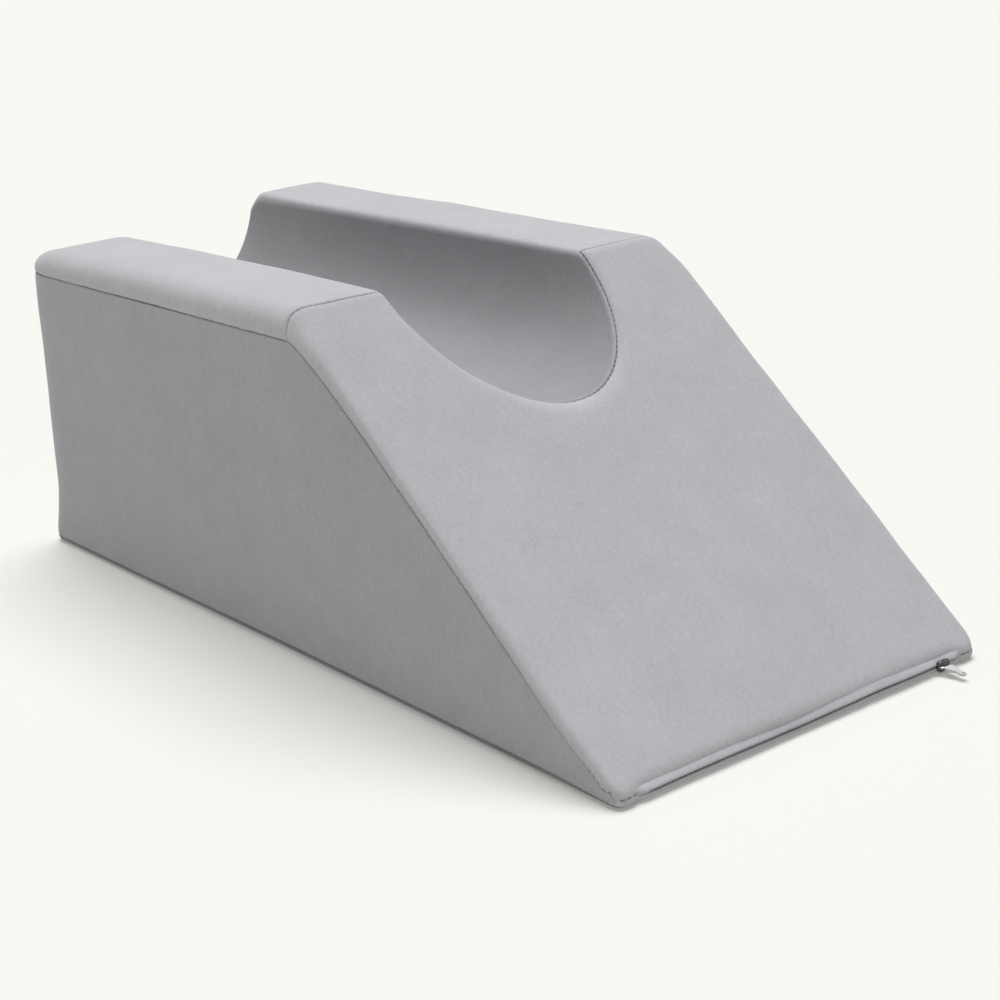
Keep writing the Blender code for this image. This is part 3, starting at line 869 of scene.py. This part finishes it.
def block(centre, size, bevel, segments=2):
    """Points and faces of a block with rounded edges."""
    shape = bmesh.new()
    bmesh.ops.create_cube(shape, size=1.0)
    bmesh.ops.scale(shape, vec=Vector(size), verts=shape.verts)
    bmesh.ops.bevel(shape, geom=shape.edges[:], offset=bevel, segments=segments, affect="EDGES", profile=0.5)
    bmesh.ops.translate(shape, vec=Vector(centre), verts=shape.verts)
    shape.verts.index_update()
    points = [tuple(v.co) for v in shape.verts]
    faces = [tuple(v.index for v in f.verts) for f in shape.faces]
    shape.free()
    return points, faces


def make_coil(surface, mid_z):
    """The closed teeth, seen edge on between the lips."""
    front = LENGTH - LIP_THICK + TEETH_FORWARD
    size = (TOOTH_DEPTH, TOOTH_PITCH * TOOTH_SHARE, CHAIN_HEIGHT)
    parts = []
    for step in range(int((CHAIN_END - CHAIN_START) / TOOTH_PITCH)):
        y = CHAIN_START + TOOTH_PITCH * (step + 0.5)
        lean = TOOTH_LEAN if step % 2 else -TOOTH_LEAN
        parts.append(block((front, y, mid_z + lean), size, TOOTH_BEVEL, 1))
    points, faces = join(parts)
    return add_piece("coil", points, faces, (surface,), ("zip_chain",))


def rounded(turn):
    """A point of a rounded square, 1 from its middle to each side."""
    along, up = cos(turn), sin(turn)
    return np.sign(along) * abs(along) ** SLIDER_SQUARENESS, np.sign(up) * abs(up) ** SLIDER_SQUARENESS


def make_slider(dark, bright, mid_z):
    """The slider: a dark waisted body over the teeth, with a bright bridge that holds the pull."""
    x = LENGTH + GAP
    outline = []
    for step in range(SLIDER_SIDES):
        turn = 2.0 * pi * step / SLIDER_SIDES
        waist = 1.0 - SLIDER_WAIST * np.exp(-(cos(turn) / SLIDER_WAIST_SPAN) ** 2)
        along, up = rounded(turn)
        outline.append((0.5 * SLIDER_LENGTH * along, 0.5 * SLIDER_HEIGHT * waist * up))
    points = []
    for depth, grow in SLIDER_RINGS:
        points += [(x + depth, SLIDER_Y + y * grow, mid_z + z * grow) for y, z in outline]
    body = (points, tube_faces(len(SLIDER_RINGS), SLIDER_SIDES))
    arch = [(x + out, SLIDER_Y + y, mid_z) for out, y in BRIDGE_ARCH]
    bridge = join([capsule(start, end, BRIDGE_RADIUS, (0.0, 0.0, 1.0), BRIDGE_SIDES)
                   for start, end in zip(arch[:-1], arch[1:])])
    points, faces = join([body, bridge])
    made = add_piece("slider", points, faces, (dark, bright), ("zip_slider",))
    choice = [0] * len(body[1]) + [1] * len(bridge[1])
    made.data.polygons.foreach_set("material_index", choice)
    made.data.set_sharp_from_angle(angle=radians(SHARP_OVER_DEGREES))
    return made


def pull_outline(half_root, half_tip, tip_centre):
    """The tab's outline seen from above, from one side of its root round the tip to the other."""
    waist = half_tip * PULL_WAIST_SHARE
    side = [(0.0, -PULL_ROOT_SHARE * half_root)]
    for step in range(1, PULL_SIDE_STEPS + 1):
        along = tip_centre * step / PULL_SIDE_STEPS
        wide = waist + (half_root - waist) * (1.0 - ease((along - PULL_WAIST_START) / PULL_WAIST_SPAN))
        wide = wide + (half_tip - waist) * ease((along - PULL_TIP_START) / PULL_TIP_SPAN)
        side.append((along, -wide))
    tip = []
    for step in range(1, PULL_TIP_STEPS):
        angle = -0.5 * pi + pi * step / PULL_TIP_STEPS
        tip.append((tip_centre + half_tip * np.cos(angle), half_tip * np.sin(angle)))
    return side + tip + [(x, -y) for x, y in reversed(side)]


def make_pull(surface, root):
    """The flat tab: wide at its root, drawn in to a round tip with a small hole, all edges rounded."""
    half_tip = 0.5 * PULL_TIP_WIDTH
    tip_centre = PULL_LENGTH - half_tip
    outer = pull_outline(0.5 * PULL_ROOT_WIDTH, half_tip, tip_centre)
    count = len(outer)
    hole_x = tip_centre + PULL_HOLE_FORWARD
    middle = np.array(outer).mean(0)
    inner, inset = [], []
    for x, y in outer:
        away = Vector((x - hole_x, y)).normalized()
        inner.append((hole_x + PULL_HOLE_RADIUS * away.x, PULL_HOLE_RADIUS * away.y))
        away = Vector((x - middle[0], (y - middle[1]) * 2.0)).normalized()
        inset.append((x - PULL_EDGE * away.x, y - PULL_EDGE * away.y))
    half = 0.5 * PULL_THICK
    layers = [(inner, -half), (inset, -half), (outer, PULL_EDGE - half), (outer, half - PULL_EDGE),
              (inset, half), (inner, half)]
    points = [(x, y, z) for ring, z in layers for x, y in ring]
    faces = []
    for ring in range(len(layers)):
        up = ((ring + 1) % len(layers)) * count
        for step in range(count):
            after = (step + 1) % count
            faces.append((ring * count + step, ring * count + after, up + after, up + step))
    droop = Matrix.Rotation(np.arctan2(PULL_DROP, PULL_LENGTH), 4, "Y")
    place = Matrix.Translation(root) @ droop
    points = [tuple(place @ Vector(point)) for point in points]
    made = add_piece("pull", points, faces, (surface,), ("zip_pull",))
    made.data.set_sharp_from_angle(angle=radians(SHARP_OVER_DEGREES))
    return made


# Stage, light and camera

def make_stage(floor_colour, glow):
    """A plain pale floor that glows faintly, like a light table, so that shadows stay soft."""
    mesh = bpy.data.meshes.new("floor")
    corners = [(x * FLOOR_REACH, y * FLOOR_REACH, 0.0) for x, y in ((-1, -1), (1, -1), (1, 1), (-1, 1))]
    mesh.from_pydata(corners, [], [(0, 1, 2, 3)])
    floor = bpy.data.objects.new("floor", mesh)
    floor.location.z = -FLOOR_BELOW
    made = bpy.data.materials.new("floor")
    made.use_nodes = True
    shader = made.node_tree.nodes["Principled BSDF"]
    shader.inputs["Base Color"].default_value = (*floor_colour, 1.0)
    shader.inputs["Roughness"].default_value = 1.0
    shader.inputs["Specular IOR Level"].default_value = 0.0
    shader.inputs["Emission Color"].default_value = (*glow, 1.0)
    shader.inputs["Emission Strength"].default_value = 1.0
    mesh.materials.append(made)
    bpy.context.scene.collection.objects.link(floor)


def make_world(wall_colour, ceiling_share, wall_top):
    """Pale studio walls up to a low height all round, under a dim ceiling."""
    world = bpy.data.worlds.new("studio")
    world.use_nodes = True
    tree = world.node_tree
    where = tree.nodes.new("ShaderNodeTexCoord")
    split = tree.nodes.new("ShaderNodeSeparateXYZ")
    tree.links.new(where.outputs["Generated"], split.inputs["Vector"])
    level = remap(tree, split.outputs["Z"], wall_top[0], wall_top[1], 1.0, ceiling_share)
    back = tree.nodes["Background"]
    tree.links.new(shade_of(tree, wall_colour, level), back.inputs["Color"])
    bpy.context.scene.world = world


def add_sun(name, direction, strength, spread_degrees):
    """One broad, even light from far away."""
    data = bpy.data.lights.new(name, "SUN")
    data.energy = strength
    data.angle = radians(spread_degrees)
    lamp = bpy.data.objects.new(name, data)
    lamp.rotation_euler = Vector(direction).to_track_quat("Z", "Y").to_euler()
    bpy.context.scene.collection.objects.link(lamp)


def make_camera():
    """The camera that the photograph's straight edges give."""
    a, e, r = radians(CAMERA_AZIMUTH), radians(CAMERA_ELEVATION), radians(CAMERA_ROLL)
    back = Vector((sin(a) * cos(e), -cos(a) * cos(e), sin(e)))
    right = Vector((cos(a), sin(a), 0.0))
    up = back.cross(right)
    right_rolled = right * cos(r) + up * sin(r)
    up_rolled = up * cos(r) - right * sin(r)
    eye = Vector(CAMERA_TARGET) + back * CAMERA_DISTANCE
    data = bpy.data.cameras.new("camera")
    data.sensor_width = SENSOR_MM
    data.lens = CAMERA_FOCAL_PX * SENSOR_MM / FRAME_PX
    camera = bpy.data.objects.new("camera", data)
    turn = Matrix((right_rolled, up_rolled, back)).transposed()
    camera.matrix_world = Matrix.Translation(eye) @ turn.to_4x4()
    bpy.context.scene.collection.objects.link(camera)
    bpy.context.scene.camera = camera


def main():
    """Build the looks."""
    make_camera()
    velour = cloth("cover cloth", COVER_COLOUR, 0.15, with_channel_shade=True)
    # Painted shade: a darker copy of the cover's grey for the side and back panels, standing in for the
    # shade on them
    shaded_panel = cloth("side cloth painted shade", PANEL_SHADED_COLOUR, 0.15)
    # Painted shade: the base strip is the cover's grey darkened for the shade where the cloth turns under
    under = cloth("base cloth painted shade", (0.20, 0.20, 0.21), 0.10)
    lip_cloth = cloth("lip cloth", (0.40, 0.41, 0.43), 0.20)
    thread = hard("thread", (0.115, 0.115, 0.13), 0.8, 0.0)
    teeth = hard("teeth", (0.05, 0.05, 0.055), 0.5, 0.0)
    dark_metal = hard("slider metal", (0.10, 0.10, 0.105), 0.38, 0.9)
    bright_metal = hard("bridge metal", (0.62, 0.62, 0.63), 0.30, 1.0)
    tab = hard("pull tab", (0.44, 0.45, 0.45), 0.50, 0.0)

    paths = make_cover(velour, under, shaded_panel)
    make_stitches(paths, thread)

    lower_top = LIP_LOWER_BASE + LIP_LOWER_HEIGHT
    chain_mid = lower_top + GAP + 0.5 * CHAIN_HEIGHT
    lower = lower_fold(LIP_THICK + GAP - LIP_LOWER_INSET, LIP_LOWER_BASE, lower_top + LIP_LOWER_OVERLAP)
    make_lip("lip_upper", UPPER_FOLD, velour, ("zip_lip_upper",), -LIPS_CLOSE_BY)
    make_lip("lip_lower", lower, lip_cloth, ("zip_lip_lower",), LIPS_CLOSE_BY)
    make_coil(teeth, chain_mid)
    make_slider(dark_metal, bright_metal, chain_mid)
    make_pull(tab, (LENGTH + 2.0 * GAP + SLIDER_DEPTH, SLIDER_Y, chain_mid))

    make_stage((0.50, 0.504, 0.478), (0.22, 0.222, 0.212))
    make_world((0.90, 0.91, 0.93), 0.15, (0.20, 0.34))
    add_sun("overhead", (-0.24, 0.17, 1.0), 4.02, 48.0)
    add_sun("side light", (0.25, -1.0, 0.14), 0.30, 20.0)
    bpy.context.scene.view_settings.view_transform = "Standard"


main()
